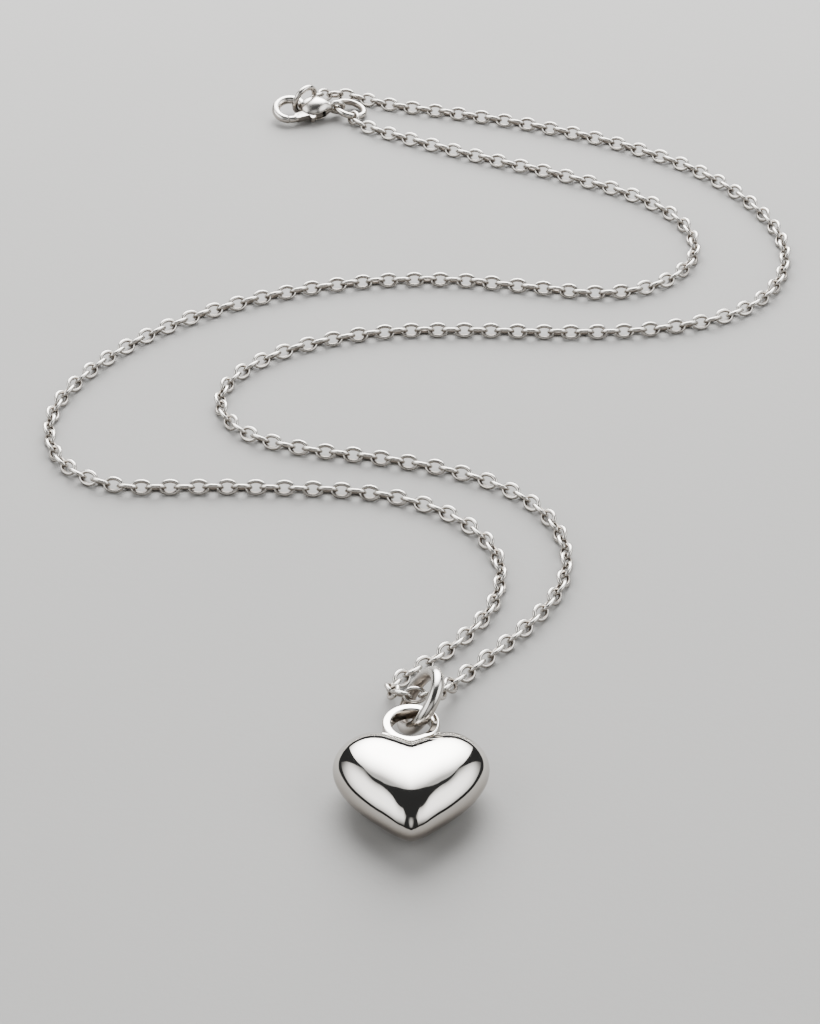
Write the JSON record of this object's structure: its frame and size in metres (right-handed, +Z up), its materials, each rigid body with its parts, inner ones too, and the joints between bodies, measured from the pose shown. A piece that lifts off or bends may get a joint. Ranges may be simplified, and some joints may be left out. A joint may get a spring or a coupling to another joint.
{
  "type": "heart pendant necklace",
  "caption": "Puffed heart charm with a soldered eye on a round ring, threaded on a fine cable chain that closes with a lobster clasp, lying in an S.",
  "frame": {"origin": "on the surface the necklace lies on, under the middle of its extents", "axes": "+Z up; +Y from the heart towards the clasp; +X to the right as seen from the heart's end"},
  "size_m": [0.0822, 0.1365, 0.0065],
  "materials": {
    "polished_silver": "mirror polished silver",
    "silver_wire": "polished drawn silver wire",
    "silver_chain": "polished silver cable chain",
    "clasp_silver": "tumbled cast silver"
  },
  "bodies": {
    "necklace": {"heart_pendant": "polished_silver", "jump_ring": "silver_wire", "chain_left": "silver_chain", "chain_right": "silver_chain", "clasp_body": "clasp_silver", "clasp_ring": "silver_wire", "end_ring": "silver_wire"},
    "lever": {"clasp_lever": "clasp_silver"}
  },
  "joints": [
    {"name": "lever_hinge", "type": "hinge", "parent": "necklace", "child": "lever", "pos_m": [-0.0136, 0.06255, 0.00114], "axis": [-0.0288, 0.2741, -0.9613], "range_deg": [0, 16], "stiffness_Nm_per_rad": 0.003, "springref_deg": -11.46}
  ]
}
